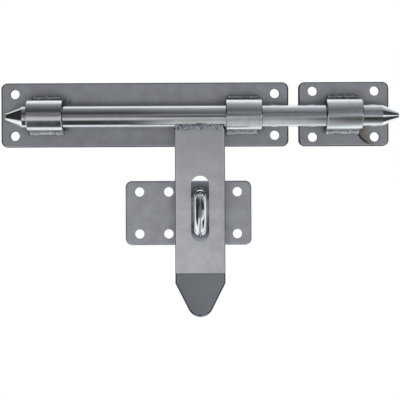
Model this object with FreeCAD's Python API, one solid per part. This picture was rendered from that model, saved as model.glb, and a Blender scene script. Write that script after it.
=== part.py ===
import FreeCAD, Part
import math
import os

# Padbolt set for a door or gate. All sizes are in millimetres.
# X runs along the bolt towards the keeper, Z is up, the door's face is y = 0 and -Y faces the user.
# The origin is the centre of the main plate's back face.

V = FreeCAD.Vector

# Plates
PLATE_THICK = 4.0
PLATE_CORNER_R = 6.5
PLATE_EDGE_R = 0.8
HOLE_D = 9.5

MAIN_LENGTH = 290.6
MAIN_HEIGHT = 65.0
MAIN_HOLE_INSET_X = 14.0
MAIN_HOLE_INSET_Z = 11.35

KEEPER_LENGTH = 91.4
KEEPER_HEIGHT = 65.0
KEEPER_GAP = 9.9
KEEPER_HOLE_INSET_X = 14.4
KEEPER_HOLE_INSET_Z = 9.25

STAPLE_PLATE_LENGTH = 127.5
STAPLE_PLATE_HEIGHT = 65.0
STAPLE_PLATE_LEFT_REACH = 75.5
STAPLE_HOLE_INSET_X = 14.3
STAPLE_HOLE_INSET_Z = 11.25
STAPLE_MIDDLE_HOLE_X = 43.7

# Bolt bar
BAR_D = 22.0
BAR_LEFT_OVERHANG = 21.7
BAR_POINT_L = 17.4
BAR_POINT_D = 6.2
BAR_POINT_EDGE_R = 0.6
BAR_BEHIND_GAP = 1.5
BAR_REACH_PAST_KEEPER = 19.6

# Guide straps, bent over the bar
STRAP_THICK = 2.8
STRAP_LENGTH = 36.0
STRAP_EDGE_R = 0.6
STRAP_PLAY = 1.7
BAR_REST_GAP = 0.3
GUIDE_SPACING = 198.4
GUIDE_SHIFT = 0.3
KEEPER_GUIDE_SHIFT = -1.4
GUIDE_DROP = 1.2

# Welds along the guides
WELD_UPPER_LEG = 5.4
WELD_UPPER_RISE = 4.0
WELD_UPPER_END_GAP = 2.6
WELD_LOWER_LEG = 5.6
WELD_LOWER_RISE = 4.4
WELD_LOWER_END_GAP = 0.9
WELD_CROWN = 0.8

# Hasp
HASP_WIDTH = 50.0
HASP_THICK = 5.0
HASP_EDGE_R = 0.6
HASP_GUIDE_GAP = 1.0
HASP_BAR_GAP = 0.05
HASP_DROP = 156.8
HASP_BEND_ANGLE = 18.0
HASP_BEND_R = 5.0
HASP_TIP_STRAIGHT = 8.0
HASP_TIP_LENGTH = 42.0
HASP_TIP_R = 13.0
SLOT_WIDTH = 18.0
SLOT_LENGTH = 65.8
SLOT_END_PLAY = 5.05
HASP_WELD_LEG = 5.6
HASP_WELD_REACH = 4.0
HASP_BACK_WELD_LEG = 4.6
HASP_BACK_WELD_REACH = 2.4
HASP_WELD_END_GAP = 0.6

# Staple
STAPLE_BAR_D = 12.0
STAPLE_OUTER_LENGTH = 47.0
STAPLE_STAND_OFF = 40.0
STAPLE_BEND_R = 14.0
STAPLE_DROP = 96.75
STAPLE_WELD_LEG = 3.2
STAPLE_WELD_FIT = 0.02

# Places that follow from the sizes above
BAR_R = BAR_D / 2.0
STRAP_INNER_R = BAR_R + STRAP_PLAY
STRAP_OUTER_R = STRAP_INNER_R + STRAP_THICK
PLATE_FRONT_Y = -PLATE_THICK
AXIS_Y = PLATE_FRONT_Y - BAR_BEHIND_GAP - BAR_R
GUIDE_Z = -GUIDE_DROP
BAR_Z = GUIDE_Z - (STRAP_PLAY - BAR_REST_GAP)

GUIDE_LEFT_X = GUIDE_SHIFT - GUIDE_SPACING / 2.0
GUIDE_RIGHT_X = GUIDE_SHIFT + GUIDE_SPACING / 2.0
KEEPER_X = MAIN_LENGTH / 2.0 + KEEPER_GAP + KEEPER_LENGTH / 2.0
KEEPER_GUIDE_X = KEEPER_X + KEEPER_GUIDE_SHIFT

BAR_X0 = GUIDE_LEFT_X - STRAP_LENGTH / 2.0 - BAR_LEFT_OVERHANG
BAR_X1 = KEEPER_GUIDE_X + STRAP_LENGTH / 2.0 + BAR_REACH_PAST_KEEPER + BAR_POINT_L

HASP_X = GUIDE_RIGHT_X - STRAP_LENGTH / 2.0 - HASP_GUIDE_GAP - HASP_WIDTH / 2.0
HASP_BACK_Y = AXIS_Y + HASP_THICK / 2.0
HASP_FRONT_Y = AXIS_Y - HASP_THICK / 2.0
HASP_BEND_Z = BAR_Z - HASP_DROP

STAPLE_X = HASP_X
STAPLE_Z = BAR_Z - STAPLE_DROP
STAPLE_PLATE_X = STAPLE_X - STAPLE_PLATE_LEFT_REACH + STAPLE_PLATE_LENGTH / 2.0
SLOT_BOTTOM_Z = STAPLE_Z - STAPLE_OUTER_LENGTH / 2.0 - SLOT_END_PLAY
SLOT_Z = SLOT_BOTTOM_Z + SLOT_LENGTH / 2.0


def rounded_plate(cx, cz, length, height, holes):
    """A plate on the door's face with round corners, eased front edges and round holes."""
    x0, x1 = cx - length / 2.0, cx + length / 2.0
    z0, z1 = cz - height / 2.0, cz + height / 2.0
    plate = Part.makeBox(length, PLATE_THICK, height, V(x0, PLATE_FRONT_Y, z0))
    corners = [
        e
        for e in plate.Edges
        if abs(e.BoundBox.YLength - PLATE_THICK) < 1e-6
        and e.BoundBox.XLength < 1e-6
        and e.BoundBox.ZLength < 1e-6
    ]
    plate = plate.makeFillet(PLATE_CORNER_R, corners)
    rim = [
        e
        for e in plate.Edges
        if e.BoundBox.YLength < 1e-6 and abs(e.BoundBox.YMin - PLATE_FRONT_Y) < 1e-6
    ]
    plate = plate.makeFillet(min(PLATE_EDGE_R, PLATE_THICK * 0.4), rim)
    for hx, hz in holes:
        drill = Part.makeCylinder(
            HOLE_D / 2.0, PLATE_THICK * 3.0, V(hx, PLATE_FRONT_Y * 2.0, hz), V(0, 1, 0)
        )
        plate = plate.cut(drill)
    return plate


def corner_holes(cx, cz, length, height, inset_x, inset_z):
    dx = length / 2.0 - inset_x
    dz = height / 2.0 - inset_z
    return [(cx + sx * dx, cz + sz * dz) for sx in (-1, 1) for sz in (-1, 1)]


def profile_along_x(points, x0, length):
    """Extrudes a closed outline of (y, z) points and three-point arcs along X."""
    edges = []
    here = points[0]
    for step in points[1:] + [points[0]]:
        if len(step) == 4:
            mid = V(x0, step[0], step[1])
            end = V(x0, step[2], step[3])
            edges.append(Part.Arc(V(x0, here[0], here[1]), mid, end).toShape())
            here = (step[2], step[3])
        else:
            if abs(step[0] - here[0]) > 1e-9 or abs(step[1] - here[1]) > 1e-9:
                edges.append(
                    Part.makeLine(V(x0, here[0], here[1]), V(x0, step[0], step[1]))
                )
            here = (step[0], step[1])
    return Part.Face(Part.Wire(edges)).extrude(V(length, 0, 0))


def guide_strap(cx):
    """A strap bent round the bar, with straight legs that butt on the plate."""
    x0 = cx - STRAP_LENGTH / 2.0
    ro, ri = STRAP_OUTER_R, STRAP_INNER_R
    strap = profile_along_x(
        [
            (PLATE_FRONT_Y, ro),
            (AXIS_Y, ro),
            (AXIS_Y - ro, 0.0, AXIS_Y, -ro),
            (PLATE_FRONT_Y, -ro),
            (PLATE_FRONT_Y, -ri),
            (AXIS_Y, -ri),
            (AXIS_Y - ri, 0.0, AXIS_Y, ri),
            (PLATE_FRONT_Y, ri),
        ],
        x0,
        STRAP_LENGTH,
    )
    rim = []
    for e in strap.Edges:
        box = e.BoundBox
        at_end = box.XLength < 1e-6
        outer = max(abs(box.ZMin), abs(box.ZMax)) > ro - 1e-3
        leg = box.ZLength < 1e-6
        if at_end and outer and (leg or box.ZLength > 2.0 * ro - 1e-3):
            rim.append(e)
    strap = strap.makeFillet(min(STRAP_EDGE_R, STRAP_THICK * 0.4), rim)
    return strap.translated(V(0, 0, GUIDE_Z))


def guide_weld(cx, side, leg, rise, end_gap):
    """A crowned fillet of weld in the corner of a strap's leg and its plate."""
    z0 = side * STRAP_OUTER_R
    z1 = side * (STRAP_OUTER_R + leg)
    y1 = PLATE_FRONT_Y - rise
    mid_y = (PLATE_FRONT_Y + y1) / 2.0 - WELD_CROWN
    mid_z = (z0 + z1) / 2.0 + side * WELD_CROWN
    bead = profile_along_x(
        [(PLATE_FRONT_Y, z0), (y1, z0), (mid_y, mid_z, PLATE_FRONT_Y, z1)],
        cx - STRAP_LENGTH / 2.0 + end_gap,
        STRAP_LENGTH - 2.0 * end_gap,
    )
    return bead.translated(V(0, 0, GUIDE_Z))


def bolt_bar():
    length = BAR_X1 - BAR_X0
    axis = V(1, 0, 0)
    shank = Part.makeCylinder(
        BAR_R, length - 2.0 * BAR_POINT_L, V(BAR_X0 + BAR_POINT_L, AXIS_Y, BAR_Z), axis
    )
    left = Part.makeCone(
        BAR_POINT_D / 2.0, BAR_R, BAR_POINT_L, V(BAR_X0, AXIS_Y, BAR_Z), axis
    )
    right = Part.makeCone(
        BAR_R,
        BAR_POINT_D / 2.0,
        BAR_POINT_L,
        V(BAR_X1 - BAR_POINT_L, AXIS_Y, BAR_Z),
        axis,
    )
    bar = shank.fuse([left, right])
    tips = [
        e
        for e in bar.Edges
        if e.BoundBox.XLength < 1e-6
        and (abs(e.BoundBox.XMin - BAR_X0) < 1e-6 or abs(e.BoundBox.XMin - BAR_X1) < 1e-6)
    ]
    return bar.makeFillet(min(BAR_POINT_EDGE_R, BAR_POINT_D * 0.2), tips)


def hasp_finger():
    """The bent tip, drawn flat below the bend and then turned outwards about the bend's centre."""
    half = HASP_WIDTH / 2.0
    z0 = HASP_BEND_Z
    zc = z0 - HASP_TIP_LENGTH + HASP_TIP_R
    dx, dz = half, (z0 - HASP_TIP_STRAIGHT) - zc
    reach = math.hypot(dx, dz)
    lean = math.atan2(dx, dz) - math.asin(HASP_TIP_R / reach)
    touch = V(
        HASP_X + HASP_TIP_R * math.cos(lean),
        HASP_BACK_Y,
        zc - HASP_TIP_R * math.sin(lean),
    )
    other = V(2.0 * HASP_X - touch.x, HASP_BACK_Y, touch.z)
    p = [
        V(HASP_X - half, HASP_BACK_Y, z0),
        V(HASP_X + half, HASP_BACK_Y, z0),
        V(HASP_X + half, HASP_BACK_Y, z0 - HASP_TIP_STRAIGHT),
        touch,
        V(HASP_X, HASP_BACK_Y, zc - HASP_TIP_R),
        other,
        V(HASP_X - half, HASP_BACK_Y, z0 - HASP_TIP_STRAIGHT),
    ]
    wire = Part.Wire(
        [
            Part.makeLine(p[0], p[1]),
            Part.makeLine(p[1], p[2]),
            Part.makeLine(p[2], p[3]),
            Part.Arc(p[3], p[4], p[5]).toShape(),
            Part.makeLine(p[5], p[6]),
            Part.makeLine(p[6], p[0]),
        ]
    )
    tip = Part.Face(wire).extrude(V(0, -HASP_THICK, 0))
    tip.rotate(V(HASP_X, HASP_FRONT_Y - HASP_BEND_R, z0), V(1, 0, 0), -HASP_BEND_ANGLE)
    return tip


def hasp_bend():
    half = HASP_WIDTH / 2.0
    z0 = HASP_BEND_Z
    p = [
        V(HASP_X - half, HASP_BACK_Y, z0),
        V(HASP_X + half, HASP_BACK_Y, z0),
        V(HASP_X + half, HASP_FRONT_Y, z0),
        V(HASP_X - half, HASP_FRONT_Y, z0),
    ]
    face = Part.Face(Part.makePolygon(p + [p[0]]))
    return face.revolve(
        V(HASP_X, HASP_FRONT_Y - HASP_BEND_R, z0), V(1, 0, 0), -HASP_BEND_ANGLE
    )


def hasp():
    half = HASP_WIDTH / 2.0
    flat = Part.makeBox(
        HASP_WIDTH,
        HASP_THICK,
        BAR_Z - HASP_BEND_Z,
        V(HASP_X - half, HASP_FRONT_Y, HASP_BEND_Z),
    )
    body = flat.fuse([hasp_bend(), hasp_finger()]).removeSplitter()
    long_edges = []
    for e in body.Edges:
        mid = e.CenterOfMass
        side = abs(abs(mid.x - HASP_X) - half) < 1e-3 and e.BoundBox.XLength < 1e-6
        below = mid.z < HASP_BEND_Z - HASP_TIP_STRAIGHT * 0.5
        across = e.BoundBox.XLength > HASP_WIDTH - 1e-3
        thick = e.Length < HASP_THICK + 1e-3 and not side
        if mid.z > BAR_Z - 1e-3 or across or thick:
            continue
        if side and abs(e.Length - HASP_THICK) < 1e-3:
            continue
        if side or below:
            long_edges.append(e)
    body = body.makeFillet(min(HASP_EDGE_R, HASP_THICK * 0.2), long_edges)
    around_bar = Part.makeCylinder(
        BAR_R + HASP_BAR_GAP,
        HASP_WIDTH * 2.0,
        V(HASP_X - HASP_WIDTH, AXIS_Y, BAR_Z),
        V(1, 0, 0),
    )
    r = SLOT_WIDTH / 2.0
    deep = HASP_THICK * 3.0
    y0 = AXIS_Y - deep / 2.0
    straight = SLOT_LENGTH - SLOT_WIDTH
    slot = Part.makeBox(
        SLOT_WIDTH, deep, straight, V(HASP_X - r, y0, SLOT_Z - straight / 2.0)
    )
    for end in (-1, 1):
        slot = slot.fuse(
            Part.makeCylinder(
                r, deep, V(HASP_X, y0, SLOT_Z + end * straight / 2.0), V(0, 1, 0)
            )
        )
    return body.cut(around_bar).cut(slot.removeSplitter())


def hasp_weld(front, leg, reach):
    """A crowned weld in the corner between the bar and one face of the hasp."""
    out = -1.0 if front else 1.0
    face_y = AXIS_Y + out * HASP_THICK / 2.0
    r = BAR_R + HASP_BAR_GAP
    top_y = face_y + out * reach
    z_face = BAR_Z - math.sqrt(r * r - (HASP_THICK / 2.0) ** 2)
    z_top = BAR_Z - math.sqrt(max(r * r - (HASP_THICK / 2.0 + reach) ** 2, 1.0))
    z_low = z_face - leg
    mid_y = (face_y + top_y) / 2.0 + out * WELD_CROWN
    mid_z = (z_low + z_top) / 2.0 - WELD_CROWN
    bead = profile_along_x(
        [
            (face_y, z_low),
            (face_y, z_face + 1.0),
            (top_y, z_top + 1.0),
            (top_y, z_top),
            (mid_y, mid_z, face_y, z_low),
        ],
        HASP_X - HASP_WIDTH / 2.0 + HASP_WELD_END_GAP,
        HASP_WIDTH - 2.0 * HASP_WELD_END_GAP,
    )
    around_bar = Part.makeCylinder(
        r, HASP_WIDTH * 2.0, V(HASP_X - HASP_WIDTH, AXIS_Y, BAR_Z), V(1, 0, 0)
    )
    return bead.cut(around_bar)


def staple():
    """A round bar bent into a square-shouldered loop that stands on its plate."""
    r = STAPLE_BAR_D / 2.0
    half = STAPLE_OUTER_LENGTH / 2.0 - r
    y_arch = PLATE_FRONT_Y - STAPLE_STAND_OFF + r
    bend = STAPLE_BEND_R
    x = STAPLE_X
    y_leg = y_arch + bend
    s = bend * math.sqrt(0.5)
    top, low = STAPLE_Z + half, STAPLE_Z - half
    path = Part.Wire(
        [
            Part.makeLine(V(x, PLATE_FRONT_Y, top), V(x, y_leg, top)),
            Part.Arc(
                V(x, y_leg, top), V(x, y_leg - s, top - bend + s), V(x, y_arch, top - bend)
            ).toShape(),
            Part.makeLine(V(x, y_arch, top - bend), V(x, y_arch, low + bend)),
            Part.Arc(
                V(x, y_arch, low + bend), V(x, y_leg - s, low + bend - s), V(x, y_leg, low)
            ).toShape(),
            Part.makeLine(V(x, y_leg, low), V(x, PLATE_FRONT_Y, low)),
        ]
    )
    ring = Part.Wire([Part.makeCircle(r, V(x, PLATE_FRONT_Y, top), V(0, 1, 0))])
    return path.makePipeShell([ring], True, False)


def staple_weld(side):
    """A ring of weld round the foot of one leg."""
    r0 = STAPLE_BAR_D / 2.0 + STAPLE_WELD_FIT
    zc = STAPLE_Z + side * (STAPLE_OUTER_LENGTH / 2.0 - STAPLE_BAR_D / 2.0)
    leg = STAPLE_WELD_LEG
    bulge = leg * 0.62
    a = V(STAPLE_X + r0, PLATE_FRONT_Y, zc)
    b = V(STAPLE_X + r0 + leg, PLATE_FRONT_Y, zc)
    m = V(STAPLE_X + r0 + bulge, PLATE_FRONT_Y - bulge, zc)
    c = V(STAPLE_X + r0, PLATE_FRONT_Y - leg, zc)
    wire = Part.Wire([Part.makeLine(a, b), Part.Arc(b, m, c).toShape(), Part.makeLine(c, a)])
    return Part.Face(wire).revolve(V(STAPLE_X, PLATE_FRONT_Y, zc), V(0, 1, 0), 360)


def build():
    staple_holes = corner_holes(
        STAPLE_PLATE_X,
        STAPLE_Z,
        STAPLE_PLATE_LENGTH,
        STAPLE_PLATE_HEIGHT,
        STAPLE_HOLE_INSET_X,
        STAPLE_HOLE_INSET_Z,
    )
    column_x = STAPLE_PLATE_X - STAPLE_PLATE_LENGTH / 2.0 + STAPLE_MIDDLE_HOLE_X
    column_dz = STAPLE_PLATE_HEIGHT / 2.0 - STAPLE_HOLE_INSET_Z
    staple_holes += [
        (column_x, STAPLE_Z - column_dz),
        (column_x, STAPLE_Z + column_dz),
    ]
    shapes = {
        "main_plate": rounded_plate(
            0.0,
            0.0,
            MAIN_LENGTH,
            MAIN_HEIGHT,
            corner_holes(
                0.0, 0.0, MAIN_LENGTH, MAIN_HEIGHT, MAIN_HOLE_INSET_X, MAIN_HOLE_INSET_Z
            ),
        ),
        "keeper_plate": rounded_plate(
            KEEPER_X,
            0.0,
            KEEPER_LENGTH,
            KEEPER_HEIGHT,
            corner_holes(
                KEEPER_X,
                0.0,
                KEEPER_LENGTH,
                KEEPER_HEIGHT,
                KEEPER_HOLE_INSET_X,
                KEEPER_HOLE_INSET_Z,
            ),
        ),
        "staple_plate": rounded_plate(
            STAPLE_PLATE_X,
            STAPLE_Z,
            STAPLE_PLATE_LENGTH,
            STAPLE_PLATE_HEIGHT,
            staple_holes,
        ),
        "guide_left": guide_strap(GUIDE_LEFT_X),
        "guide_right": guide_strap(GUIDE_RIGHT_X),
        "keeper_guide": guide_strap(KEEPER_GUIDE_X),
        "bolt_bar": bolt_bar(),
        "hasp": hasp(),
        "hasp_weld_front": hasp_weld(True, HASP_WELD_LEG, HASP_WELD_REACH),
        "hasp_weld_back": hasp_weld(False, HASP_BACK_WELD_LEG, HASP_BACK_WELD_REACH),
        "staple": staple(),
        "staple_weld_upper": staple_weld(1),
        "staple_weld_lower": staple_weld(-1),
    }
    for name, cx in (
        ("left", GUIDE_LEFT_X),
        ("right", GUIDE_RIGHT_X),
        ("keeper", KEEPER_GUIDE_X),
    ):
        shapes["weld_" + name + "_upper"] = guide_weld(
            cx, 1, WELD_UPPER_LEG, WELD_UPPER_RISE, WELD_UPPER_END_GAP
        )
        shapes["weld_" + name + "_lower"] = guide_weld(
            cx, -1, WELD_LOWER_LEG, WELD_LOWER_RISE, WELD_LOWER_END_GAP
        )
    return shapes


os.makedirs("parts", exist_ok=True)
for node, shape in build().items():
    if not shape.isValid() or len(shape.Solids) != 1:
        raise SystemExit(node + " is not one valid solid")
    solid = shape.Solids[0]
    if solid.Volume < 0:
        solid.reverse()
    solid.exportStep("parts/" + node + ".step")
    box = solid.BoundBox
    print(
        node,
        "x %.2f %.2f" % (box.XMin, box.XMax),
        "y %.2f %.2f" % (box.YMin, box.YMax),
        "z %.2f %.2f" % (box.ZMin, box.ZMax),
        "volume %.1f" % solid.Volume,
    )
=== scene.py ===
"""Looks of a zinc-plated padbolt: a round bolt with a slotted hasp, its guides, keeper and staple."""

import math
import random

import bmesh
import bpy
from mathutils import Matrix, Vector


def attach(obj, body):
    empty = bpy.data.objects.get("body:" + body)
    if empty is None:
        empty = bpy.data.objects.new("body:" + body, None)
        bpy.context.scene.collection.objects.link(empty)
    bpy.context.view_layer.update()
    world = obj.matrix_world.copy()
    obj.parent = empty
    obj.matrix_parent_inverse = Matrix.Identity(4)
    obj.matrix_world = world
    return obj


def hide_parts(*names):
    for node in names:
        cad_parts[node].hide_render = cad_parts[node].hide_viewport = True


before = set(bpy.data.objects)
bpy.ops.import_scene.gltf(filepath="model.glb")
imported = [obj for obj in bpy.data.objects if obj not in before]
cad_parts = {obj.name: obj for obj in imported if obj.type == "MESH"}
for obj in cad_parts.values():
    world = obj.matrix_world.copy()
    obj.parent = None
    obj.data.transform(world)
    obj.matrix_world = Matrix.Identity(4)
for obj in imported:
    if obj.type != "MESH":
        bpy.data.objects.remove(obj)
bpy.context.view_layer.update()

MM = 0.001

# Sizes of the real pieces in millimetres, as the frame has them. Places are worked out from them.

# Plates, with holes as (distance along X, distance along Z) between their centres
PLATE_THICK = 4.0
PLATE_HEIGHT = 65.0
PLATE_CORNER_R = 6.5
PLATE_FRONT_EDGE_R = 1.7
PLATE_BACK_EDGE_R = 0.3
PLATE_FRONT = -PLATE_THICK
HOLE_R = 4.75
HOLE_RIM = 0.45

MAIN_LENGTH = 290.6
MAIN_HOLES = (262.6, 42.3)
KEEPER_GAP = 9.9
KEEPER_LENGTH = 91.4
KEEPER_HOLES = (62.6, 46.5)
KEEPER_X = MAIN_LENGTH / 2 + KEEPER_GAP + KEEPER_LENGTH / 2
STAPLE_PLATE_LENGTH = 127.5
STAPLE_PLATE_X = 43.75
STAPLE_HOLES = (98.9, 42.5)
STAPLE_MIDDLE_HOLES_X = 23.7

# Guides, with the place of each along X
STRAP_THICK = 2.8
STRAP_LENGTH = 36.0
STRAP_INNER_R = 12.7
STRAP_OUTER_R = STRAP_INNER_R + STRAP_THICK
STRAP_EDGE_R = 1.0
GUIDE_Z = -1.2
GUIDES = {"left": -98.9, "right": 99.5, "keeper": 199.5}

# Bolt bar, which rests low in the guides
BAR_R = 11.0
BAR_BEHIND_GAP = 1.5
BAR_SAG = 1.4
BAR_LEFT, BAR_RIGHT = -138.6, 254.5
POINT_LENGTH = 17.4
POINT_R = 3.1
POINT_EDGE_R = 0.6
AXIS_Y = PLATE_FRONT - BAR_BEHIND_GAP - BAR_R
BAR_Z = GUIDE_Z - BAR_SAG

# Hasp
HASP_WIDTH = 50.0
HASP_THICK = 5.0
HASP_EDGE_R = 0.4
HASP_GUIDE_GAP = 1.0
HASP_BAR_GAP = 0.05
HASP_DROP = 156.8
HASP_BEND_ANGLE = 18.0
HASP_BEND_R = 5.0
TIP_STRAIGHT = 8.0
TIP_LENGTH = 42.0
TIP_R = 13.0
# The tip's arc stops just short of its end, so that the last row still has a width.
TIP_LAST_ANGLE = 81.0
TIP_ROWS = 14
OUTLINE_EDGE_R = 1.2
HASP_X = GUIDES["right"] - STRAP_LENGTH / 2 - HASP_GUIDE_GAP - HASP_WIDTH / 2
HASP_BEND_Z = BAR_Z - HASP_DROP

# Staple, and the slot that goes over it
STAPLE_R = 6.0
STAPLE_OUTER_LENGTH = 47.0
STAPLE_STAND_OFF = 40.0
STAPLE_BEND_R = 14.0
STAPLE_DROP = 96.75
STAPLE_Z = BAR_Z - STAPLE_DROP
STAPLE_HALF = STAPLE_OUTER_LENGTH / 2 - STAPLE_R
STAPLE_ARCH_Y = PLATE_FRONT - STAPLE_STAND_OFF + STAPLE_R
SLOT_R = 9.0
SLOT_LENGTH = 65.8
SLOT_END_PLAY = 5.05
SLOT_LOW = STAPLE_Z - STAPLE_OUTER_LENGTH / 2 - SLOT_END_PLAY
SLOT_MIDDLE = SLOT_LOW + SLOT_LENGTH / 2

random.seed(7)


# Modelling steps, as by hand


def deselect():
    bpy.ops.object.select_all(action="DESELECT")


def choose(piece):
    """Makes the piece the only one selected, and the active one."""
    deselect()
    piece.select_set(True)
    bpy.context.view_layer.objects.active = piece


def set_place():
    """Puts the place, turn and size of the new primitive into its mesh."""
    bpy.ops.object.transform_apply(location=True, rotation=True, scale=True)
    return bpy.context.object


def enter(piece):
    choose(piece)
    bpy.ops.object.mode_set(mode="EDIT")


def leave():
    bpy.ops.object.mode_set(mode="OBJECT")


def select_all():
    bpy.ops.mesh.select_all(action="SELECT")


def pick(kind, test):
    """Selects the vertices, edges or faces whose centre in millimetres and own data pass the test."""
    bpy.ops.mesh.select_mode(type=kind)
    bpy.ops.mesh.select_all(action="DESELECT")
    mesh = bmesh.from_edit_mesh(bpy.context.object.data)
    group = {"VERT": mesh.verts, "EDGE": mesh.edges, "FACE": mesh.faces}[kind]
    for part in group:
        if kind == "VERT":
            centre = part.co
        elif kind == "EDGE":
            centre = (part.verts[0].co + part.verts[1].co) / 2
        else:
            centre = part.calc_center_median()
        if test(centre / MM, part):
            part.select_set(True)
    mesh.select_flush_mode()
    bmesh.update_edit_mesh(bpy.context.object.data)


def extrude(x=0.0, y=0.0, z=0.0):
    bpy.ops.mesh.extrude_region_move(
        TRANSFORM_OT_translate={"value": (x * MM, y * MM, z * MM)}
    )


def spin(steps, angle, centre):
    """Turns the selected outline about the X axis through the centre, leaving a bend behind it."""
    bpy.ops.mesh.spin(steps=steps, angle=angle, center=Vector(centre) * MM, axis=(1, 0, 0))


def bevel(width, segments):
    bpy.ops.mesh.bevel(offset=width * MM, segments=segments, affect="EDGES")


def outwards():
    select_all()
    bpy.ops.mesh.remove_doubles(threshold=1e-6)
    bpy.ops.mesh.normals_make_consistent(inside=False)


def block(low, high):
    deselect()
    low, high = Vector(low) * MM, Vector(high) * MM
    bpy.ops.mesh.primitive_cube_add(size=1, location=(low + high) / 2)
    bpy.context.object.scale = high - low
    return set_place()


def rod(radius, length, centre, axis, sides):
    deselect()
    turn = {"X": (0, math.pi / 2, 0), "Y": (math.pi / 2, 0, 0)}[axis]
    bpy.ops.mesh.primitive_cylinder_add(
        vertices=sides,
        radius=radius * MM,
        depth=length * MM,
        location=Vector(centre) * MM,
        rotation=turn,
    )
    return set_place()


def rectangle(centre, width, depth, turn=(0, 0, 0)):
    """The flat end that a strip is drawn from, width along X and depth along Y before its turn."""
    deselect()
    bpy.ops.mesh.primitive_plane_add(size=1, location=Vector(centre) * MM, rotation=turn)
    bpy.context.object.scale = (width * MM, depth * MM, 1)
    return set_place()


def use_modifier(piece, kind, **settings):
    choose(piece)
    made = piece.modifiers.new(kind, kind)
    for key, value in settings.items():
        setattr(made, key, value)
    bpy.ops.object.modifier_apply(modifier=made.name)


def cut_away(piece, tool):
    use_modifier(piece, "BOOLEAN", operation="DIFFERENCE", object=tool, solver="EXACT")
    bpy.data.objects.remove(tool)


def trim_off(piece, point, normal):
    """Cuts the piece flat at the point in millimetres, and takes off what lies on the normal's side."""
    enter(piece)
    select_all()
    bpy.ops.mesh.bisect(
        plane_co=Vector(point) * MM,
        plane_no=normal,
        use_fill=True,
        clear_outer=True,
        threshold=1e-7,
    )
    leave()


def ease_edges(piece, width, angle=35.0):
    use_modifier(
        piece,
        "BEVEL",
        width=width * MM,
        segments=3,
        limit_method="ANGLE",
        angle_limit=math.radians(angle),
        use_clamp_overlap=True,
        harden_normals=False,
    )


def finish_piece(piece, name, body, material, slot, *nodes, smooth=30.0):
    """Shades the piece, names it, tells the frame what it rides on, and hides the frame's nodes
    that it stands for.
    """
    choose(piece)
    bpy.ops.object.shade_smooth_by_angle(angle=math.radians(smooth))
    # Keeps the big flat faces flat up to their eased edges.
    use_modifier(piece, "WEIGHTED_NORMAL", keep_sharp=True)
    piece.name = name
    piece.data.name = name
    piece.data.materials.clear()
    piece.data.materials.append(material)
    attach(piece, body)
    if nodes:
        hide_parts(*nodes)


# Materials


def colour(code):
    """sRGB hex to the linear colour that Blender works in."""
    parts = [int(code[i : i + 2], 16) / 255 for i in (1, 3, 5)]
    return [p / 12.92 if p <= 0.04045 else ((p + 0.055) / 1.055) ** 2.4 for p in parts] + [1.0]


def node(tree, kind, links=None, give=None, **settings):
    """Adds a shader node, gives it its settings, and links or sets its inputs.

    Returns the output called give, or the node itself where that is left out.
    """
    made = tree.nodes.new(kind)
    for key, value in settings.items():
        setattr(made, key, value)
    for socket, source in (links or {}).items():
        if isinstance(source, bpy.types.NodeSocket):
            tree.links.new(source, made.inputs[socket])
        else:
            made.inputs[socket].default_value = source
    return made if give is None else made.outputs[give]


def set_stops(ramp, stops):
    """Gives a colour ramp its stops, each (place from 0 to 1, colour), in rising order."""
    elements = ramp.color_ramp.elements
    while len(elements) < len(stops):
        elements.new(0.5)
    for element, (place, shade) in zip(elements, stops):
        element.position = place
    for element, (place, shade) in zip(elements, stops):
        element.color = shade


# A brown patch beside a weld, ringed by a painted shadow line, as colours that the zinc is
# multiplied by, at shares of the mark's reach in mm: brown inside, then the dark line 1 mm wide at
# 19 mm. Only its left half shows, because it fades out over the last 11 mm before its middle.
STAIN_SHADOW_REACH = 24.0
STAIN_SHADOW_FADE = 11.0
STAIN_SHADOW_STOPS = (
    (0.0, "#FFFFFF"),
    (0.45, "#F4EFE6"),
    (0.74, "#DCD0BC"),
    (0.79, "#6C6A62"),
    (0.83, "#6C6A62"),
    (0.88, "#FFFFFF"),
)


def stain_with_shadow_line(tree, place, tint, x, z):
    """The tint with a brown patch and a painted shadow line round (x, z) on a plate's front."""
    # Depth counts ten times over, so that the mark doesn't reach the plate's back.
    deep = 10.0
    away = node(
        tree,
        "ShaderNodeMapping",
        {
            "Vector": place,
            "Location": (-x * MM, -PLATE_FRONT * deep * MM, -z * MM),
            "Scale": (1.0, deep, 1.0),
        },
        "Vector",
    )
    away = node(tree, "ShaderNodeVectorMath", {0: away}, "Value", operation="LENGTH")
    away = node(tree, "ShaderNodeMapRange", {"Value": away, "From Max": STAIN_SHADOW_REACH * MM}, "Result")
    ring = node(tree, "ShaderNodeValToRGB", {"Fac": away})
    set_stops(ring, [(share, colour(code)) for share, code in STAIN_SHADOW_STOPS])
    along = node(tree, "ShaderNodeSeparateXYZ", {"Vector": place}, "X")
    fade = node(
        tree,
        "ShaderNodeMapRange",
        {
            "Value": along,
            "From Min": (x - STAIN_SHADOW_FADE) * MM,
            "From Max": x * MM,
            "To Min": 1.0,
            "To Max": 0.0,
        },
        "Result",
    )
    return node(
        tree,
        "ShaderNodeMix",
        {0: fade, 6: tint, 7: ring.outputs["Color"]},
        2,
        data_type="RGBA",
        blend_type="MULTIPLY",
    )


# Painted shade: a dark teal that the zinc goes towards in corners and on dark sides.
CORNER_SHADE_COLOUR = "#17262E"
CORNER_SHADE_REACH = 11.0
# How far the painted corner shade leans towards the pale table below, which the light comes from.
TABLE_PULL = -0.45


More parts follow.
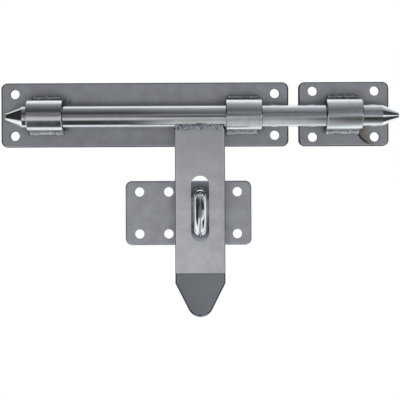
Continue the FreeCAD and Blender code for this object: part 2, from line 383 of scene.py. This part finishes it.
def paint_corner_shade(tree, corner_shade):
    """The share of its tint that the zinc keeps under painted shade, least where the next piece hides
    the table.
    """
    facing = node(tree, "ShaderNodeNewGeometry", give="Normal")
    facing = node(
        tree,
        "ShaderNodeVectorMath",
        {0: facing, 1: (0.0, 0.0, TABLE_PULL)},
        "Vector",
        operation="ADD",
    )
    facing = node(tree, "ShaderNodeVectorMath", {0: facing}, "Vector", operation="NORMALIZE")
    open_share = node(
        tree,
        "ShaderNodeAmbientOcclusion",
        {"Distance": CORNER_SHADE_REACH * MM, "Normal": facing},
        "AO",
        samples=8,
    )
    return node(
        tree,
        "ShaderNodeMapRange",
        {
            "Value": open_share,
            "From Min": 0.35,
            "From Max": 0.95,
            "To Min": 1 - corner_shade,
            "To Max": 1.0,
        },
        "Result",
    )


def paint_side_shade(tree, shade, side_shade, rim, turned):
    """The shade, less by side_shade on sheared or sawn sides, as painted shade."""
    # A side is as dark as it gets where it looks sideways by this much more than rim.
    spread = 0.25
    way = node(tree, "ShaderNodeTexCoord", give="Normal")
    way = node(tree, "ShaderNodeVectorMath", {0: way}, "Vector", operation="ABSOLUTE")
    way = node(tree, "ShaderNodeSeparateXYZ", {"Vector": way})
    side = node(tree, "ShaderNodeMath", {0: way.outputs["Z"], 1: turned}, 0, operation="SUBTRACT")
    side = node(tree, "ShaderNodeMath", {0: way.outputs["X"], 1: side}, 0, operation="MAXIMUM")
    side = node(
        tree,
        "ShaderNodeMapRange",
        {
            "Value": side,
            "From Min": rim,
            "From Max": rim + spread,
            "To Min": 1.0,
            "To Max": 1 - side_shade,
        },
        "Result",
    )
    return node(tree, "ShaderNodeMath", {0: shade, 1: side}, 0, operation="MULTIPLY")


def bowed(tree, place, lean):
    """The normal of stock that leans back by lean degrees. Past the hasp's bend it leans forward."""
    tip_lean = 0.8
    height = node(tree, "ShaderNodeSeparateXYZ", {"Vector": place}, "Z")
    below = node(
        tree,
        "ShaderNodeMath",
        {0: height, 1: -tip_lean, 2: HASP_BEND_Z * MM * (1 + tip_lean)},
        0,
        operation="MULTIPLY_ADD",
    )
    height = node(tree, "ShaderNodeMath", {0: height, 1: below}, 0, operation="MAXIMUM")
    distance = math.tan(math.radians(lean))
    return node(tree, "ShaderNodeBump", {"Height": height, "Distance": distance}, "Normal")


# Handling marks: slanting lines under 1 mm wide, in a few patches about 25 mm across.
SCUFF_WIDTH = 0.9
SCUFF_PATCH = 25.0


def scuffed(tree, place, gloss, scuffs):
    """The roughness with handling marks, rougher by scuffs at most."""
    slant = node(
        tree,
        "ShaderNodeMapping",
        {"Vector": place, "Rotation": (0.0, 0.9, 0.0), "Scale": (1.0, 1.0, 0.06)},
        "Vector",
    )
    lines = node(
        tree,
        "ShaderNodeTexNoise",
        {"Vector": slant, "Scale": 1 / (SCUFF_WIDTH * MM), "Detail": 1.0},
        "Fac",
    )
    lines = node(
        tree,
        "ShaderNodeMapRange",
        {"Value": lines, "From Min": 0.66, "From Max": 0.74},
        "Result",
    )
    spots = node(
        tree,
        "ShaderNodeTexNoise",
        {"Vector": place, "Scale": 1 / (SCUFF_PATCH * MM), "Detail": 1.0},
        "Fac",
    )
    spots = node(
        tree,
        "ShaderNodeMapRange",
        {"Value": spots, "From Min": 0.5, "From Max": 0.65, "To Max": scuffs},
        "Result",
    )
    marks = node(tree, "ShaderNodeMath", {0: lines, 1: spots}, 0, operation="MULTIPLY")
    return node(tree, "ShaderNodeMath", {0: gloss, 1: marks}, 0, operation="ADD", use_clamp=True)


def zinc_steel(
    name,
    light,
    dark,
    rough,
    mottle,
    grain,
    wave,
    stretch=(1, 1, 1),
    scuffs=0.0,
    lean=0.0,
    side_shade=0.0,
    rim=0.1,
    turned=0.3,
    corner_shade=0.5,
    stain_shadow=None,
):
    """Zinc-plated mild steel: a grey metal with cloudy patches, a fine grain and shallow waves.

    light and dark are the patches' colours, rough their roughness, and mottle their width in mm.
    grain and wave are (width, depth) in mm, and stretch draws them out along an axis. scuffs is how
    rough the handling marks are. lean is how many degrees the stock is bowed from true. side_shade is
    how far painted shade darkens the sheared sides against the face; it starts where the surface looks
    sideways by rim, or up or down by turned more. corner_shade is how far painted shade darkens the
    corners against other pieces. stain_shadow is the middle, as (x, z) in mm, of a brown patch ringed
    by a painted shadow line on a plate's front.
    """
    made = bpy.data.materials.new(name)
    made.use_nodes = True
    tree = made.node_tree
    tree.nodes.clear()
    place = node(tree, "ShaderNodeTexCoord", give="Object")
    # The clouds' values lie mostly between 0.3 and 0.7.
    clouds = node(
        tree,
        "ShaderNodeTexNoise",
        {"Vector": place, "Scale": 1 / (mottle * MM), "Detail": 4.0, "Roughness": 0.6},
        "Fac",
    )

    patch = node(
        tree,
        "ShaderNodeMapRange",
        {"Value": clouds, "From Min": 0.35, "From Max": 0.65},
        "Result",
    )
    tones = {0: patch, 6: colour(dark), 7: colour(light)}
    tint = node(tree, "ShaderNodeMix", tones, 2, data_type="RGBA")
    if stain_shadow:
        tint = stain_with_shadow_line(tree, place, tint, *stain_shadow)
    shade = paint_corner_shade(tree, corner_shade)
    # Painted shade on the sheared and sawn sides.
    if side_shade:
        shade = paint_side_shade(tree, shade, side_shade, rim, turned)
    # Painted shade: the tint goes towards the dark teal by the shade worked out above.
    tint = node(tree, "ShaderNodeMix", {0: shade, 6: colour(CORNER_SHADE_COLOUR), 7: tint}, 2, data_type="RGBA")

    gloss = node(
        tree,
        "ShaderNodeMapRange",
        {
            "Value": clouds,
            "From Min": 0.3,
            "From Max": 0.7,
            "To Min": rough[1],
            "To Max": rough[0],
        },
        "Result",
    )
    if scuffs:
        gloss = scuffed(tree, place, gloss, scuffs)

    drawn = node(tree, "ShaderNodeMapping", {"Vector": place, "Scale": stretch}, "Vector")
    under = {"Normal": bowed(tree, place, lean)} if lean else {}
    for width, depth in (wave, grain):
        relief = node(
            tree,
            "ShaderNodeTexNoise",
            {"Vector": drawn, "Scale": 1 / (width * MM), "Detail": 2.0},
            "Fac",
        )
        bump = node(
            tree,
            "ShaderNodeBump",
            {"Height": relief, "Distance": depth * MM, **under},
            "Normal",
        )
        under = {"Normal": bump}

    shader = node(
        tree,
        "ShaderNodeBsdfPrincipled",
        {"Base Color": tint, "Metallic": 1.0, "Roughness": gloss, **under},
        "BSDF",
    )
    node(tree, "ShaderNodeOutputMaterial", {"Surface": shader})
    return made


# Rolled steel plate, zinc plated: dull satin grey, an even grain, soft clouds, painted shade on
# the sheared sides.
ROLLED_PLATE = dict(
    light="#DCE0E2",
    dark="#CED0D5",
    rough=(0.46, 0.54),
    mottle=14.0,
    grain=(0.55, 0.005),
    wave=(22.0, 0.02),
    scuffs=0.1,
    side_shade=0.93,
    corner_shade=0.62,
)
plate_zinc = zinc_steel("rolled_plate_zinc", **ROLLED_PLATE)
# The keeper's plate has a brown patch beside its weld, ringed by a painted shadow line.
keeper_zinc = zinc_steel("stained_shadow_plate_zinc", **ROLLED_PLATE, stain_shadow=(233.3, -11.6))
# The same plate under the staple, a little bowed, so that it mirrors more of the pale table.
small_plate_zinc = zinc_steel(
    "bowed_plate_zinc",
    light="#DDE1E3",
    dark="#CDCFD5",
    rough=(0.38, 0.46),
    mottle=14.0,
    grain=(0.55, 0.004),
    wave=(22.0, 0.02),
    scuffs=0.1,
    lean=5.0,
    side_shade=0.5,
    corner_shade=0.7,
)
# Drawn round bar, zinc plated: bright, near mirror, fine streaks along its length.
bar_zinc = zinc_steel(
    "drawn_bar_zinc",
    light="#F4F6F6",
    dark="#EBEEED",
    rough=(0.07, 0.12),
    mottle=10.0,
    grain=(0.5, 0.004),
    wave=(7.0, 0.03),
    stretch=(0.12, 1, 1),
    corner_shade=0.15,
)
# Flat strap bent hot round the bolt, zinc plated: bright, a fine pebbled grain, painted shade on
# the sawn ends.
strap_zinc = zinc_steel(
    "bent_strap_zinc",
    light="#F4F6F6",
    dark="#EBEEED",
    rough=(0.10, 0.16),
    mottle=6.0,
    grain=(0.9, 0.02),
    wave=(7.0, 0.02),
    side_shade=0.9,
    rim=0.4,
    turned=1.0,
    corner_shade=0.25,
)
# Flat bar of the hasp, zinc plated: smoother than the plate, faint rolling lines, scuffs. Its tint
# is lighter than the plate's: painted light, for the light it catches at its tilt.
hasp_zinc = zinc_steel(
    "flat_bar_zinc",
    light="#F8FAFB",
    dark="#ECEFF2",
    rough=(0.13, 0.18),
    mottle=12.0,
    grain=(0.6, 0.0015),
    wave=(18.0, 0.015),
    stretch=(1, 1, 0.3),
    scuffs=0.2,
    lean=10.0,
    side_shade=0.93,
    corner_shade=0.45,
)
# Welds plated over: rough and pitted, with bright points and dark hollows. The pits are drawn as
# coarse as they need to be to show.
PITTED = dict(rough=(0.05, 0.20), mottle=1.3, grain=(0.35, 0.045), wave=(1.4, 0.12), corner_shade=0.45)
weld_zinc = zinc_steel("plated_weld", light="#FCFFFF", dark="#B0BDC2", **PITTED)
# The hasp's weld under the bar and the rings round the staple's legs inside the slot: a darker copy
# of the weld, blue-black in patches, as painted shade.
shaded_weld_zinc = zinc_steel("shaded_weld", light="#DDE6EA", dark="#5C6B78", **PITTED)


# Plates: a block with its corners rounded, its edges eased and its holes drilled


def plate(name, centre_x, centre_z, length, holes, cad_node, material):
    """holes are the (x, z) of their middles."""
    left, bottom = centre_x - length / 2, centre_z - PLATE_HEIGHT / 2
    piece = block((left, PLATE_FRONT, bottom), (left + length, 0.0, bottom + PLATE_HEIGHT))
    enter(piece)
    # The four corners, then the edges in front, then those behind.
    pick("EDGE", lambda c, e: abs((e.verts[0].co - e.verts[1].co).y) > PLATE_THICK * MM * 0.9)
    bevel(PLATE_CORNER_R, 12)
    pick("EDGE", lambda c, e: c.y < PLATE_FRONT + 0.01)
    bevel(PLATE_FRONT_EDGE_R, 4)
    pick("EDGE", lambda c, e: c.y > -0.01)
    bevel(PLATE_BACK_EDGE_R, 2)
    leave()
    for x, z in holes:
        cut_away(piece, rod(HOLE_R, PLATE_THICK * 3, (x, PLATE_FRONT / 2, z), "Y", 48))
    enter(piece)
    pick(
        "EDGE",
        lambda c, e: c.y < PLATE_FRONT + 0.01
        and any(abs(math.hypot(c.x - x, c.z - z) - HOLE_R) < 0.1 for x, z in holes),
    )
    bevel(HOLE_RIM, 3)
    outwards()
    leave()
    finish_piece(piece, name, "plates", material, "plate_zinc", cad_node)


def corners(centre_x, centre_z, spacing):
    """The middles of the four holes in a plate's corners."""
    wide, high = spacing
    return [(centre_x + a * wide / 2, centre_z + b * high / 2) for a in (-1, 1) for b in (-1, 1)]


plate("long_plate", 0, 0, MAIN_LENGTH, corners(0, 0, MAIN_HOLES), "main_plate", plate_zinc)
keeper_holes = corners(KEEPER_X, 0, KEEPER_HOLES)
plate("short_plate", KEEPER_X, 0, KEEPER_LENGTH, keeper_holes, "keeper_plate", keeper_zinc)
staple_holes = corners(STAPLE_PLATE_X, STAPLE_Z, STAPLE_HOLES)
for side in (-1, 1):
    staple_holes.append((STAPLE_MIDDLE_HOLES_X, STAPLE_Z + side * STAPLE_HOLES[1] / 2))
plate(
    "hasp_plate",
    STAPLE_PLATE_X,
    STAPLE_Z,
    STAPLE_PLATE_LENGTH,
    staple_holes,
    "staple_plate",
    small_plate_zinc,
)


# Guides: a strap's foot is drawn, raised, turned half round over the bar and brought down again


def strap(name, centre_x, cad_node):
    middle_r = (STRAP_INNER_R + STRAP_OUTER_R) / 2
    foot = (centre_x, PLATE_FRONT, GUIDE_Z + middle_r)
    piece = rectangle(foot, STRAP_LENGTH, STRAP_THICK, turn=(math.pi / 2, 0, 0))
    enter(piece)
    select_all()
    extrude(y=AXIS_Y - PLATE_FRONT)
    spin(48, -math.pi, (centre_x, AXIS_Y, GUIDE_Z))
    extrude(y=PLATE_FRONT - AXIS_Y)
    outwards()
    leave()
    ease_edges(piece, STRAP_EDGE_R)
    finish_piece(piece, name, "plates", strap_zinc, "bar_zinc", cad_node)


strap("strap_left", GUIDES["left"], "guide_left")
strap("strap_right", GUIDES["right"], "guide_right")
strap("strap_keeper", GUIDES["keeper"], "keeper_guide")


# Bolt bar: a rod whose ends are drawn out and narrowed to blunt cones


def bar():
    left, right = BAR_LEFT + POINT_LENGTH, BAR_RIGHT - POINT_LENGTH
    piece = rod(BAR_R, right - left, ((left + right) / 2, AXIS_Y, BAR_Z), "X", 128)
    shrink = POINT_R / BAR_R
    enter(piece)
    for end, out in ((left, -1), (right, 1)):
        pick("FACE", lambda c, f: abs(c.x - end) < 0.01 and len(f.verts) > 8)
        extrude(x=out * POINT_LENGTH)
        bpy.ops.transform.resize(
            value=(1, shrink, shrink),
            center_override=Vector((end + out * POINT_LENGTH, AXIS_Y, BAR_Z)) * MM,
        )
    pick("EDGE", lambda c, e: c.x < BAR_LEFT + 0.01 or c.x > BAR_RIGHT - 0.01)
    bevel(POINT_EDGE_R, 3)
    outwards()
    leave()
    finish_piece(piece, "round_bolt", "bolt", bar_zinc, "bar_zinc", "bolt_bar", smooth=20.0)


bar()


# Hasp: the strip's end is drawn, run down to the bend, turned outwards and narrowed to the finger tip


def tip_rows():
    """The rows of the tip's arc, each (half width, distance past the bend)."""
    half, centre = HASP_WIDTH / 2, TIP_LENGTH - TIP_R
    reach = math.hypot(half, centre - TIP_STRAIGHT)
    start = math.atan2(half, centre - TIP_STRAIGHT) - math.asin(TIP_R / reach)
    swing = math.radians(TIP_LAST_ANGLE) - start
    angles = [start + swing * i / TIP_ROWS for i in range(TIP_ROWS + 1)]
    return [(TIP_R * math.cos(a), centre + TIP_R * math.sin(a)) for a in angles]


def slot_tool():
    """A round punch drawn out to the slot's length."""
    tool = rod(SLOT_R, HASP_THICK * 4, (HASP_X, AXIS_Y, SLOT_MIDDLE), "Y", 64)
    enter(tool)
    for side in (-1, 1):
        pick("VERT", lambda c, v: side * (c.z - SLOT_MIDDLE) > 0.5)
        bpy.ops.transform.translate(value=(0, 0, side * (SLOT_LENGTH / 2 - SLOT_R) * MM))
    leave()
    return tool


def on_outline(c):
    """Whether a place on the hasp is clear of the bar above it and of the slot inside it."""
    beside_slot = abs(c.x - HASP_X) > SLOT_R + 2
    below_slot = c.z < SLOT_LOW - 5
    return c.z < BAR_Z - BAR_R - 3 and (beside_slot or below_slot)


def strip():
    piece = rectangle((HASP_X, AXIS_Y, BAR_Z), HASP_WIDTH, HASP_THICK)
    enter(piece)
    select_all()
    extrude(z=HASP_BEND_Z - BAR_Z)
    turn = math.radians(HASP_BEND_ANGLE)
    arm = HASP_BEND_R + HASP_THICK / 2
    pivot = Vector((HASP_X, AXIS_Y - arm, HASP_BEND_Z))
    spin(8, turn, pivot)
    run = Vector((0, -math.sin(turn), -math.cos(turn)))
    bend_end = pivot + Vector((0, arm * math.cos(turn), -arm * math.sin(turn)))
    extrude(*(run * TIP_STRAIGHT))
    half, distance = HASP_WIDTH / 2, TIP_STRAIGHT
    for next_half, next_distance in tip_rows():
        extrude(*(run * (next_distance - distance)))
        bpy.ops.transform.resize(
            value=(next_half / half, 1, 1), center_override=(bend_end + run * next_distance) * MM
        )
        half, distance = next_half, next_distance
    outwards()
    leave()
    seat_r = BAR_R + HASP_BAR_GAP
    cut_away(piece, rod(seat_r, HASP_WIDTH * 2, (HASP_X, AXIS_Y, BAR_Z), "X", 128))
    cut_away(piece, slot_tool())
    enter(piece)
    pick("EDGE", lambda c, e: e.calc_face_angle(0) > 0.7 and on_outline(c))
    bevel(OUTLINE_EDGE_R, 4)
    leave()
    ease_edges(piece, HASP_EDGE_R, angle=40.0)
    finish_piece(piece, "hasp_strip", "hasp", hasp_zinc, "hasp_zinc", "hasp")


strip()


# Staple: a round end is drawn at the foot of a leg, raised, turned, run down, turned and brought back


def loop():
    deselect()
    top, low = STAPLE_Z + STAPLE_HALF, STAPLE_Z - STAPLE_HALF
    bend_y = STAPLE_ARCH_Y + STAPLE_BEND_R
    bpy.ops.mesh.primitive_circle_add(
        vertices=48,
        radius=STAPLE_R * MM,
        fill_type="NGON",
        location=Vector((HASP_X, PLATE_FRONT, top)) * MM,
        rotation=(math.pi / 2, 0, 0),
    )
    piece = set_place()
    enter(piece)
    select_all()
    extrude(y=bend_y - PLATE_FRONT)
    spin(16, -math.pi / 2, (HASP_X, bend_y, top - STAPLE_BEND_R))
    extrude(z=-2 * (STAPLE_HALF - STAPLE_BEND_R))
    spin(16, -math.pi / 2, (HASP_X, bend_y, low + STAPLE_BEND_R))
    extrude(y=PLATE_FRONT - bend_y)
    outwards()
    leave()
    finish_piece(piece, "staple_loop", "plates", bar_zinc, "bar_zinc", "staple")


loop()


# Welds: a first drop is copied along the joint, and the copies are melted into one rough bead

VOXEL = 0.28
CRUST_WIDTH = 1.1
CRUST_DEPTH = 0.4
crust = bpy.data.textures.new("weld_crust", "CLOUDS")
crust.noise_scale = CRUST_WIDTH * MM
crust.noise_depth = 2


def melt(name, drops, body, *nodes, material=weld_zinc, trims=()):
    """drops are (centre, radii) in millimetres, trims (point, normal) of cuts hidden in the steel."""
    deselect()
    bpy.ops.mesh.primitive_uv_sphere_add(segments=20, ring_count=12, radius=MM)
    first = bpy.context.object
    copies = []
    for centre, radii in drops:
        copy = first.copy()
        copy.data = first.data.copy()
        bpy.context.collection.objects.link(copy)
        copy.location = Vector(centre) * MM
        copy.scale = radii
        copies.append(copy)
    bpy.data.objects.remove(first)
    for copy in copies:
        copy.select_set(True)
    bpy.context.view_layer.objects.active = copies[0]
    bpy.ops.object.join()
    piece = set_place()
    use_modifier(piece, "REMESH", mode="VOXEL", voxel_size=VOXEL * MM)
    use_modifier(piece, "SMOOTH", factor=0.5, iterations=1)
    use_modifier(
        piece,
        "DISPLACE",
        texture=crust,
        texture_coords="LOCAL",
        strength=CRUST_DEPTH * MM,
        mid_level=0.5,
    )
    for point, normal in trims:
        trim_off(piece, point, normal)
    finish_piece(piece, name, body, material, "weld_zinc", *nodes, smooth=60.0)


def ripples(start_x, end_x, y, z, width, depth, pitch):
    """The drops of one bead along the bolt, each lapping over the one before, round a long core."""
    count = max(3, round((end_x - start_x) / pitch))
    core = ((end_x - start_x) / 2, depth * 0.7, width * 0.7)
    drops = [(((start_x + end_x) / 2, y, z), core)]
    for i in range(count):
        x = start_x + (end_x - start_x) * (i + 0.5) / count
        swell = random.uniform(0.82, 1.1)
        centre = (x, y + random.uniform(-0.3, 0.3), z + random.uniform(-0.3, 0.3))
        length = pitch * random.uniform(0.85, 1.0)
        drops.append((centre, (length, depth * swell, width * swell)))
    return drops


def spatter(count, low, high, y):
    """Small drops thrown on the plate, in the box from low to high, each (x, z)."""
    drops = []
    for _ in range(count):
        size = random.uniform(0.35, 0.75)
        centre = (random.uniform(low[0], high[0]), y, random.uniform(low[1], high[1]))
        drops.append((centre, (size, size * 0.8, size)))
    return drops


# Where each bead starts and ends along the bolt, for the upper and lower side of each guide
RUNS = {
    ("left", "upper"): (-113.0, -82.7),
    ("left", "lower"): (-116.0, -82.2),
    ("right", "upper"): (84.1, 114.9),
    ("right", "lower"): (82.4, 114.0),
    ("keeper", "upper"): (184.6, 214.8),
    ("keeper", "lower"): (182.4, 216.4),
}
# The middle and half height of the bead over and under a guide. Half of it is buried in the strap, so
# that what shows is a fillet, deep at the strap and running out on the plate.
BEAD_OFFSET = 16.3
BEADS = {"upper": (GUIDE_Z + BEAD_OFFSET, 4.0), "lower": (GUIDE_Z - BEAD_OFFSET, 3.3)}
BEAD_Y = PLATE_FRONT - 0.2
BEAD_DEPTH = 4.8
BEAD_PITCH = 2.3
# How far a bead's first and last drop are inside its ends.
BEAD_END = 0.8


def guide_bead(where, side):
    left, right = RUNS[where, side]
    start, end = left + BEAD_END, right - BEAD_END
    middle, half = BEADS[side]
    up = math.copysign(1, middle)
    drops = ripples(start, end, BEAD_Y, middle, half, BEAD_DEPTH, BEAD_PITCH)
    for tail in (start, end):
        drops.append(((tail, BEAD_Y, middle), (1.5, 4.4, half * 1.05)))
    if where == "left":
        # Spatter lies on the plate to the right of the left guide's welds.
        low, high = sorted((middle - 6 * up, middle + up))
        thrown = spatter(9, (right + 1, low), (right + 8, high), PLATE_FRONT)
        melt("spatter_%s" % side, thrown, "plates")
    # The bead is cut off flat inside the plate, and inside the strap's leg.
    inside_strap = GUIDE_Z + up * (0.3 * STRAP_INNER_R + 0.7 * STRAP_OUTER_R)
    trims = (
        ((0, PLATE_FRONT + 1.0, 0), (0, 1, 0)),
        ((0, 0, inside_strap), (0, 0, -up)),
    )
    melt("bead_%s_%s" % (where, side), drops, "plates", "weld_%s_%s" % (where, side), trims=trims)


for where, side in RUNS:
    guide_bead(where, side)


def hasp_beads():
    """The beads under the bar, in front of the hasp and behind it."""
    left, right = HASP_X - HASP_WIDTH / 2, HASP_X + HASP_WIDTH / 2
    y, z = AXIS_Y - 3.0, BAR_Z - 8.6
    drops = ripples(left + 3.0, right - 3.0, y, z, width=5.6, depth=4.2, pitch=2.1)
    # The front one has a heavy run at each end.
    for x, fall in ((left + 1.9, 6.2), (left + 3.5, 5.4), (right - 3.3, 5.4), (right - 1.9, 6.0)):
        drops.append(((x, y, z), (1.6, 4.4, fall)))
    # Painted shade: the front bead takes the weld's darker copy.
    melt("bead_hasp_front", drops, "hasp", "hasp_weld_front", material=shaded_weld_zinc)
    y, z = AXIS_Y + 3.6, BAR_Z - 11.4
    drops = ripples(left + 1.1, right - 1.1, y, z, width=2.6, depth=1.8, pitch=2.2)
    melt("bead_hasp_back", drops, "hasp", "hasp_weld_back")


hasp_beads()

RING_DROPS = 22
RING_R = STAPLE_R + 0.9
RING_Y = PLATE_FRONT - 0.7


def ring(name, leg_z, cad_node):
    """The weld round the foot of one leg of the staple."""
    drops = []
    for i in range(RING_DROPS):
        angle = 2 * math.pi * i / RING_DROPS
        centre = (HASP_X + RING_R * math.cos(angle), RING_Y, leg_z + RING_R * math.sin(angle))
        drops.append((centre, [random.uniform(1.7, 2.1)] * 3))
    # Painted shade: the rings take the weld's darker copy.
    melt(name, drops, "plates", cad_node, material=shaded_weld_zinc)


ring("ring_upper", STAPLE_Z + STAPLE_HALF, "staple_weld_upper")
ring("ring_lower", STAPLE_Z - STAPLE_HALF, "staple_weld_lower")


# Floor

deselect()
bpy.ops.mesh.primitive_plane_add(size=2.0, location=(0.05, 0.0, -0.5))
floor = bpy.context.object
floor.name = "studio_floor"
floor.visible_glossy = False
paint = bpy.data.materials.new("white_studio_paint")
paint.use_nodes = True
paint.node_tree.nodes.clear()
white = node(paint.node_tree, "ShaderNodeBsdfDiffuse", {"Color": colour("#FFFFFF")}, "BSDF")
node(paint.node_tree, "ShaderNodeOutputMaterial", {"Surface": white})
floor.data.materials.append(paint)


# Light

# The studio that the metal mirrors, in parts from left to right, each as (angle, brightness). The
# angle is in degrees round the bolt, 0 straight in front of the door and up being positive. The white
# ground lies behind the door, a dark ceiling in front above, and a pale table in front below. The
# table fills the middle and the right, and thins out towards the keeper and the cones at the bolt's
# ends. The flanks are bright below and dark above. The walls beside the camera are dark, but for a
# pale strip low on the right one.
STUDIO = {
    "middle": [
        (-180, 0.6), (-140, 1.0), (-122, 1.0), (-106, 0.85), (-92, 0.6), (-75, 0.53), (-62, 0.48),
        (-50, 0.4), (-40, 0.34), (-32, 0.43), (-24, 0.48), (-19, 0.42), (-14, 0.13), (-10, 0.06),
        (-4, 0.08), (3, 0.17), (13, 0.24), (24, 0.115), (34, 0.11), (46, 0.16), (58, 0.21), (70, 0.29),
        (84, 0.4), (98, 0.7), (112, 1.0), (140, 1.0), (180, 0.6),
    ],
    "right": [
        (-180, 0.6), (-140, 1.0), (-125, 0.95), (-110, 0.68), (-96, 0.5), (-82, 0.56), (-68, 0.52),
        (-56, 0.46), (-44, 0.36), (-33, 0.3), (-22, 0.32), (-13, 0.25), (-4, 0.16), (8, 0.21),
        (20, 0.15), (30, 0.13), (41, 0.17), (53, 0.25), (65, 0.33), (78, 0.4), (92, 0.56),
        (106, 0.9), (140, 1.0), (180, 0.6),
    ],
    "keeper": [
        (-180, 0.6), (-140, 1.0), (-125, 0.95), (-110, 0.8), (-99, 0.42), (-88, 0.35), (-70, 0.28),
        (-55, 0.2), (-46, 0.12), (-40, 0.06), (-34, 0.06), (-29, 0.24), (-23, 0.38), (-15, 0.28),
        (-7, 0.22), (2, 0.19), (15, 0.14), (26, 0.12), (38, 0.16), (50, 0.23), (65, 0.34), (80, 0.42),
        (92, 0.56), (106, 0.9), (140, 1.0), (180, 0.6),
    ],
    "left_end": [
        (-180, 0.6), (-140, 1.0), (-120, 1.0), (-108, 0.75), (-99, 0.12), (-88, 0.035), (-60, 0.035),
        (-50, 0.07), (-44, 0.25), (-37, 0.56), (-28, 0.58), (-20, 0.42), (-12, 0.24), (-5, 0.14),
        (3, 0.18), (10, 0.18), (16, 0.12), (24, 0.045), (33, 0.045), (42, 0.07), (53, 0.12),
        (66, 0.18), (77, 0.25), (86, 0.36), (96, 0.66), (110, 0.95), (140, 1.0), (180, 0.6),
    ],
    "right_end": [
        (-180, 0.6), (-140, 1.0), (-112, 0.95), (-97, 0.8), (-87, 0.36), (-78, 0.27), (-66, 0.11),
        (-54, 0.05), (-42, 0.02), (-27, 0.015), (-20, 0.06), (-15, 0.45), (-9, 0.5), (-2, 0.36),
        (4, 0.25), (12, 0.2), (22, 0.21), (32, 0.18), (43, 0.155), (54, 0.22), (66, 0.3), (79, 0.42),
        (92, 0.52), (106, 0.9), (140, 1.0), (180, 0.6),
    ],
    "flanks": [
        (-180, 1.0), (-100, 1.0), (-80, 0.95), (-12, 0.95), (-5, 0.3), (2, 0.05), (60, 0.05),
        (95, 0.4), (120, 1.0), (180, 1.0),
    ],
    "left_wall": [
        (-180, 1.0), (-75, 1.0), (-64, 0.4), (-48, 0.02), (96, 0.02), (112, 0.8), (180, 1.0),
    ],
    "right_wall": [
        (-180, 1.0), (-102, 1.0), (-94, 0.06), (-40, 0.03), (-28, 0.3), (-20, 0.95), (-6, 0.95),
        (3, 0.06), (62, 0.03), (76, 0.35), (110, 0.7), (125, 1.0), (180, 1.0),
    ],
}
# The parts from left to right after the left wall. Each takes over from the one before it while the
# sight line's share along X goes from the first number to the second.
STEPS = (
    ("flanks", -0.65, -0.5),
    ("left_end", -0.25, -0.18),
    ("middle", -0.065, -0.02),
    ("right", 0.03, 0.055),
    ("keeper", 0.09, 0.115),
    ("right_end", 0.132, 0.1435),
    ("flanks", 0.2, 0.27),
    ("right_wall", 0.5, 0.65),
)
# The colour of the light: blue from the dark ceiling, warmer from the table, cool from the ground.
CEILING, TABLE, GROUND = (0.93, 0.965, 1.055), (0.99, 0.985, 1.02), (0.92, 0.975, 1.01)


def light_from(angle, level):
    """The linear colour of the light that comes from an angle round the bolt."""
    if angle > 92 or angle < -100:
        shares = GROUND
    else:
        shares = CEILING if angle > -12 else TABLE
    return [level * share for share in shares] + [1]


world = bpy.data.worlds.new("white_studio")
bpy.context.scene.world = world
world.use_nodes = True
sky = world.node_tree
sky.nodes.clear()
sight = node(sky, "ShaderNodeTexCoord", give="Generated")
sight = node(sky, "ShaderNodeSeparateXYZ", {"Vector": sight})
front = node(sky, "ShaderNodeMath", {0: sight.outputs["Y"], 1: -1.0}, 0, operation="MULTIPLY")
turn = node(sky, "ShaderNodeMath", {0: sight.outputs["Z"], 1: front}, 0, operation="ARCTAN2")
turn = node(
    sky,
    "ShaderNodeMapRange",
    {"Value": turn, "From Min": -math.pi, "From Max": math.pi},
    "Result",
)
parts = {}
for part, stops in STUDIO.items():
    ramp = node(sky, "ShaderNodeValToRGB", {"Fac": turn})
    set_stops(ramp, [((angle + 180) / 360, light_from(angle, level)) for angle, level in stops])
    parts[part] = ramp.outputs["Color"]
room = parts["left_wall"]
for part, low, high in STEPS:
    step = node(
        sky,
        "ShaderNodeMapRange",
        {"Value": sight.outputs["X"], "From Min": low, "From Max": high},
        "Result",
        interpolation_type="SMOOTHSTEP",
    )
    room = node(sky, "ShaderNodeMix", {0: step, 6: room, 7: parts[part]}, 2, data_type="RGBA")
mirrored = node(sky, "ShaderNodeBackground", {"Color": room, "Strength": 1.0}, "Background")
plain = node(sky, "ShaderNodeBackground", {"Color": colour("#FFFFFF"), "Strength": 1.0}, "Background")
is_mirrored = node(sky, "ShaderNodeLightPath", give="Is Glossy Ray")
both = node(sky, "ShaderNodeMixShader", {0: is_mirrored, 1: plain, 2: mirrored}, "Shader")
node(sky, "ShaderNodeOutputWorld", {"Surface": both})


# Camera: 1.1 m in front of the door's face, level with the middle of the set, looking straight at it

CAMERA_PLACE = (0.0554, -1.1, -0.0864)
CAMERA_ROLL = 0.25
IMAGE_WIDTH = 400
# The photograph's focal length in its own pixels.
FOCAL_LENGTH = 1084

lens = bpy.data.cameras.new("front_camera")
lens.sensor_width = 36.0
lens.lens = FOCAL_LENGTH / IMAGE_WIDTH * lens.sensor_width
lens.clip_start = 0.05
camera = bpy.data.objects.new("front_camera", lens)
camera.location = CAMERA_PLACE
camera.rotation_euler = (math.pi / 2, math.radians(CAMERA_ROLL), 0)
bpy.context.collection.objects.link(camera)
bpy.context.scene.camera = camera

bpy.context.scene.view_settings.view_transform = "Standard"

deselect()
